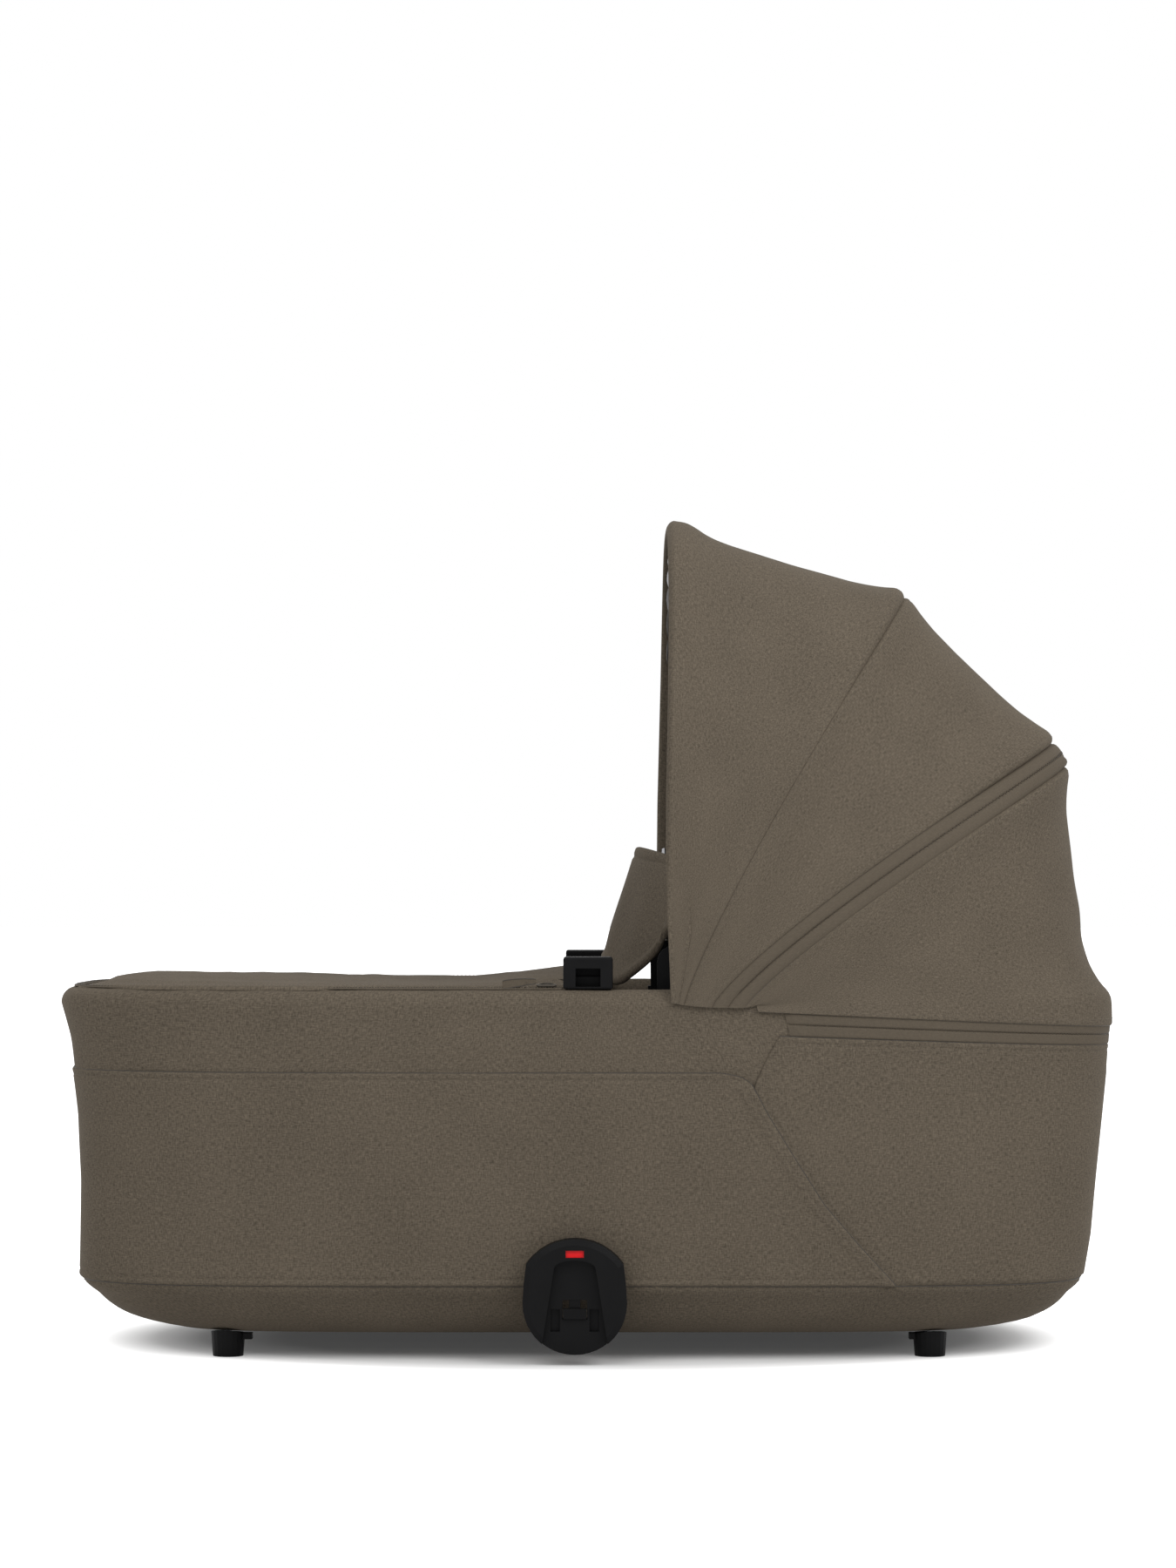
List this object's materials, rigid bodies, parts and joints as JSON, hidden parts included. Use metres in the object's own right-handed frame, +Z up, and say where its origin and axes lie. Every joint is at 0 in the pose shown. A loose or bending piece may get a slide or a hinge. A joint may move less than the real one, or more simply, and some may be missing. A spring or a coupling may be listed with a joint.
{
  "type": "carrycot",
  "caption": "Pram carrycot: fabric-covered oval body on feet, with a folding hood, a zipped apron with a wind flap, and a bracket receiver on each side.",
  "frame": {"origin": "on the floor, under the middle of the cot's bounding box", "axes": "+X towards the head end, +Y towards the far side, +Z up"},
  "size_m": [0.836, 0.45, 0.6563],
  "materials": {
    "cover_cloth": "matt plain weave with a slight melange",
    "band_cloth": "matt zip tape",
    "lining_cloth": "soft matt lining",
    "black_plastic": "fine grained",
    "steel": "satin",
    "red_plastic": "semi-gloss"
  },
  "bodies": {
    "cot": {"apron": "cover_cloth", "apron_zip": "band_cloth", "body_cover": "cover_cloth", "canopy_hub_far": "black_plastic", "canopy_hub_near": "black_plastic", "canopy_rear_panel": "cover_cloth", "end_stay_foot": "steel", "end_stay_head": "steel", "floor_tray": "black_plastic", "foot_far_foot_end": "black_plastic", "foot_far_head_end": "black_plastic", "foot_near_foot_end": "black_plastic", "foot_near_head_end": "black_plastic", "foot_screw_far_foot_end": "steel", "foot_screw_far_head_end": "steel", "foot_screw_near_foot_end": "steel", "foot_screw_near_head_end": "steel", "head_pocket": "cover_cloth", "head_zip": "band_cloth", "hub_pin_far": "steel", "hub_pin_near": "steel", "lining": "lining_cloth", "lower_panel": "cover_cloth", "mattress": "lining_cloth", "mount_disc_far": "black_plastic", "mount_disc_near": "black_plastic", "release_housing_far": "black_plastic", "release_housing_near": "black_plastic", "rim_frame": "steel", "side_upright_far": "steel", "side_upright_near": "steel"},
    "rear_bow": {"canopy_bow_rear": "steel", "bow_arm_rear_near": "black_plastic", "bow_arm_rear_far": "black_plastic", "canopy_zip_panel": "cover_cloth"},
    "middle_bow": {"canopy_bow_middle": "steel", "bow_arm_middle_near": "black_plastic", "bow_arm_middle_far": "black_plastic", "canopy_middle_panel": "cover_cloth"},
    "front_bow": {"canopy_bow_front": "steel", "bow_arm_front_near": "black_plastic", "bow_arm_front_far": "black_plastic", "canopy_front_panel": "cover_cloth"},
    "flap": {"wind_flap": "cover_cloth", "flap_magnet_near": "steel", "flap_magnet_far": "steel"},
    "zip_runner": {"apron_zip_slider": "band_cloth", "apron_zip_pull": "band_cloth"},
    "release_near": {"release_slider_near": "black_plastic", "release_rod_near": "steel", "disc_latch_near": "black_plastic"},
    "indicator_near": {"lock_indicator_near": "red_plastic"},
    "release_far": {"release_slider_far": "black_plastic", "release_rod_far": "steel", "disc_latch_far": "black_plastic"},
    "indicator_far": {"lock_indicator_far": "red_plastic"}
  },
  "joints": [
    {"name": "canopy_rear_hinge", "type": "hinge", "parent": "cot", "child": "rear_bow", "pos_m": [0.066, 0, 0.2507], "axis": [0, 1, 0], "range_deg": [0, 12], "deforming": ["canopy_rear_panel", "canopy_zip_panel"]},
    {"name": "canopy_middle_hinge", "type": "hinge", "parent": "rear_bow", "child": "middle_bow", "pos_m": [0.066, 0, 0.2507], "axis": [0, 1, 0], "range_deg": [0, 18.5], "deforming": ["canopy_middle_panel"]},
    {"name": "canopy_front_hinge", "type": "hinge", "parent": "middle_bow", "child": "front_bow", "pos_m": [0.066, 0, 0.2507], "axis": [0, 1, 0], "range_deg": [0, 20.2], "deforming": ["canopy_front_panel"]},
    {"name": "wind_flap_hinge", "type": "hinge", "parent": "cot", "child": "flap", "pos_m": [0.01154, 0, 0.30279], "axis": [0, -1, 0], "range_deg": [0, 90]},
    {"name": "apron_zip_run", "type": "slide", "parent": "cot", "child": "zip_runner", "axis": [-1, 0, 0], "range_m": [0, 0.09]},
    {"name": "release_slide_near", "type": "slide", "parent": "cot", "child": "release_near", "axis": [0, 0, 1], "range_m": [0, 0.006], "stiffness_N_per_m": 800},
    {"name": "indicator_slide_near", "type": "slide", "parent": "cot", "child": "indicator_near", "axis": [1, 0, 0], "range_m": [0, 0.007]},
    {"name": "release_slide_far", "type": "slide", "parent": "cot", "child": "release_far", "axis": [0, 0, 1], "range_m": [0, 0.006], "stiffness_N_per_m": 800},
    {"name": "indicator_slide_far", "type": "slide", "parent": "cot", "child": "indicator_far", "axis": [1, 0, 0], "range_m": [0, 0.007]}
  ],
  "couplings": [
    {"joint": "canopy_middle_hinge", "follows": "canopy_rear_hinge", "ratio": 1.5416},
    {"joint": "canopy_front_hinge", "follows": "canopy_rear_hinge", "ratio": 1.6833},
    {"joint": "indicator_slide_near", "follows": "release_slide_near", "ratio": 1.16},
    {"joint": "indicator_slide_far", "follows": "release_slide_far", "ratio": 1.16}
  ]
}
